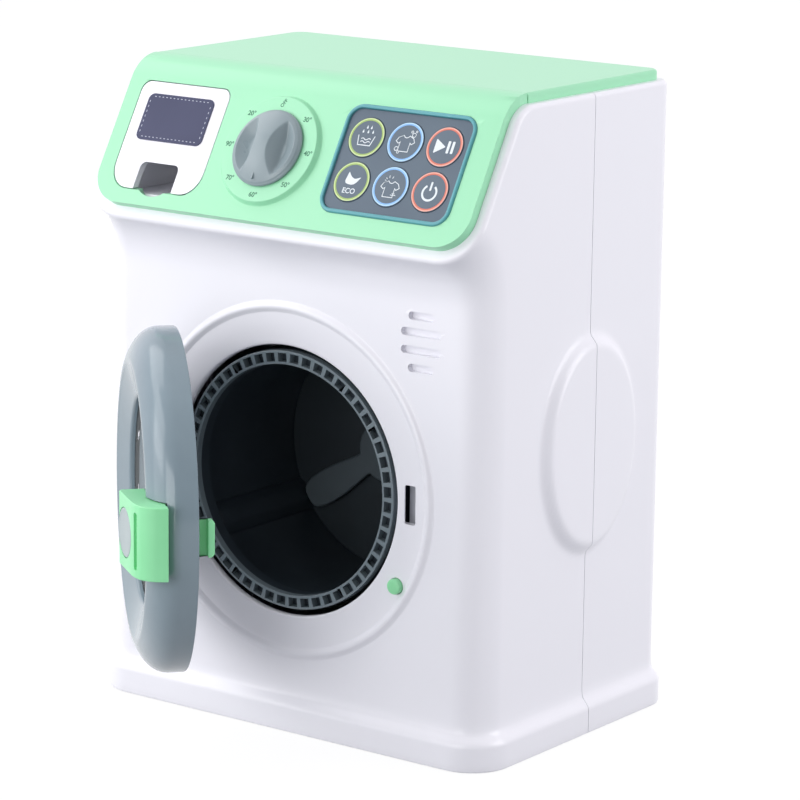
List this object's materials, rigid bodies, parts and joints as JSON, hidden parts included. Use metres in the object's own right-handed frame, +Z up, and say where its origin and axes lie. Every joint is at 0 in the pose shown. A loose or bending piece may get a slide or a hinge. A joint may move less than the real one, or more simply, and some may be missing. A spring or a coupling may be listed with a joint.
{
  "type": "toy washing machine",
  "caption": "Front-loading toy washing machine with hinged porthole door, turning drum, sloped control panel, dial, keys and pull-out drawer.",
  "frame": {"origin": "on the floor under the middle of the closed cabinet, half way between the front panel and the back wall", "axes": "+X to the right seen from the front, +Y to the back, +Z up"},
  "size_m": [0.197, 0.2399, 0.26],
  "materials": {
    "white_shell": "glossy",
    "mint": "glossy",
    "teal": "glossy",
    "slate": "satin",
    "key_blue_grey": "satin",
    "knob_grey": "satin",
    "switch_black": "matte",
    "board": "satin",
    "drawer_white": "glossy",
    "label_navy": "satin film",
    "drum_dark": "satin",
    "drum_ring_grey": "satin",
    "steel": "bright",
    "gear_nylon": "satin",
    "bush_bronze": "sintered",
    "inner_plastic": "satin",
    "brass": "turned",
    "cone_black": "matte",
    "magnet": "matte",
    "motor_can": "satin",
    "battery_sleeve": "printed sleeve left plain",
    "door_grey": "glossy",
    "door_back_grey": "satin",
    "window_clear": "clear",
    "green": "glossy",
    "badge_grey": "satin",
    "catch_grey": "satin"
  },
  "bodies": {
    "cabinet": {"front_shell": "white_shell", "rear_shell": "white_shell", "control_fascia": "mint", "top_cover": "mint", "shell_screws": "steel", "keypad_frame": "teal", "keypad_panel": "slate", "keypad_board": "board", "dial_switch": "switch_black", "drawer_housing": "drawer_white", "drum_carrier": "inner_plastic", "drum_bushes": "bush_bronze", "carrier_screws": "steel", "gearbox_plate": "inner_plastic", "gearbox_posts": "inner_plastic", "gearbox_screws": "steel", "motor": "motor_can", "speaker_grille": "drawer_white", "speaker_basket": "steel", "speaker_cone": "cone_black", "speaker_magnet": "magnet", "main_board": "board", "battery_box": "switch_black", "battery_contacts": "steel", "batteries": "battery_sleeve", "battery_cover": "white_shell", "battery_cover_screw": "steel", "hinge_pin": "steel", "latch_catch": "catch_grey", "peg_spring": "steel", "peg_holder": "inner_plastic"},
    "door": {"door_ring": "door_grey", "door_back": "door_back_grey", "door_window": "window_clear", "door_screws": "steel", "latch_pin": "steel", "latch_spring": "steel"},
    "latch": {"latch_handle": "green", "latch_badge": "badge_grey"},
    "drum": {"drum_barrel": "drum_dark", "drum_ring": "drum_ring_grey", "drum_paddles": "drum_dark", "drum_shaft": "steel", "drum_gear": "gear_nylon"},
    "motor_rotor": {"motor_shaft": "steel", "motor_pinion": "brass"},
    "dial": {"dial_knob": "knob_grey"},
    "drawer_body": {"drawer": "drawer_white", "drawer_label": "label_navy"},
    "peg": {"door_switch_peg": "green"},
    "key_soak_body": {"key_soak": "key_blue_grey"},
    "key_bubbles_body": {"key_bubbles": "key_blue_grey"},
    "key_start_pause_body": {"key_start_pause": "key_blue_grey"},
    "key_leaf_body": {"key_leaf": "key_blue_grey"},
    "key_shirt_body": {"key_shirt": "key_blue_grey"},
    "key_power_body": {"key_power": "key_blue_grey"}
  },
  "joints": [
    {"name": "door_hinge", "type": "hinge", "parent": "cabinet", "child": "door", "pos_m": [-0.0671, -0.0684, 0.1014], "axis": [0, 0, 1], "range_deg": [-50, 42.2]},
    {"name": "latch_pivot", "type": "hinge", "parent": "door", "child": "latch", "pos_m": [0.02377, -0.1573, 0.1014], "axis": [0, 0, 1], "range_deg": [0, 6], "stiffness_Nm_per_rad": 0.3, "springref_deg": -8.59, "deforming": ["latch_spring"]},
    {"name": "drum_spin", "type": "hinge", "parent": "cabinet", "child": "drum", "pos_m": [0, 0, 0.1014], "axis": [0, -1, 0], "continuous": true},
    {"name": "rotor_spin", "type": "hinge", "parent": "cabinet", "child": "motor_rotor", "pos_m": [0.02616, 0, 0.12756], "axis": [0, -1, 0], "continuous": true},
    {"name": "dial_turn", "type": "hinge", "parent": "cabinet", "child": "dial", "pos_m": [-0.01, -0.06055, 0.23087], "axis": [0, -0.866, 0.5], "continuous": true},
    {"name": "drawer_slide", "type": "slide", "parent": "cabinet", "child": "drawer_body", "axis": [0, -1, 0], "range_m": [0, 0.03]},
    {"name": "peg_press", "type": "slide", "parent": "cabinet", "child": "peg", "axis": [0, 1, 0], "range_m": [0, 0.002], "stiffness_N_per_m": 200, "springref_m": -0.002, "deforming": ["peg_spring"]},
    {"name": "key_soak_press", "type": "slide", "parent": "cabinet", "child": "key_soak_body", "axis": [0, 0.866, -0.5], "range_m": [0, 0.0008], "stiffness_N_per_m": 400, "springref_m": -0.0006},
    {"name": "key_bubbles_press", "type": "slide", "parent": "cabinet", "child": "key_bubbles_body", "axis": [0, 0.866, -0.5], "range_m": [0, 0.0008], "stiffness_N_per_m": 400, "springref_m": -0.0006},
    {"name": "key_start_pause_press", "type": "slide", "parent": "cabinet", "child": "key_start_pause_body", "axis": [0, 0.866, -0.5], "range_m": [0, 0.0008], "stiffness_N_per_m": 400, "springref_m": -0.0006},
    {"name": "key_leaf_press", "type": "slide", "parent": "cabinet", "child": "key_leaf_body", "axis": [0, 0.866, -0.5], "range_m": [0, 0.0008], "stiffness_N_per_m": 400, "springref_m": -0.0006},
    {"name": "key_shirt_press", "type": "slide", "parent": "cabinet", "child": "key_shirt_body", "axis": [0, 0.866, -0.5], "range_m": [0, 0.0008], "stiffness_N_per_m": 400, "springref_m": -0.0006},
    {"name": "key_power_press", "type": "slide", "parent": "cabinet", "child": "key_power_body", "axis": [0, 0.866, -0.5], "range_m": [0, 0.0008], "stiffness_N_per_m": 400, "springref_m": -0.0006}
  ],
  "couplings": [
    {"joint": "rotor_spin", "follows": "drum_spin", "ratio": -4.2857}
  ]
}
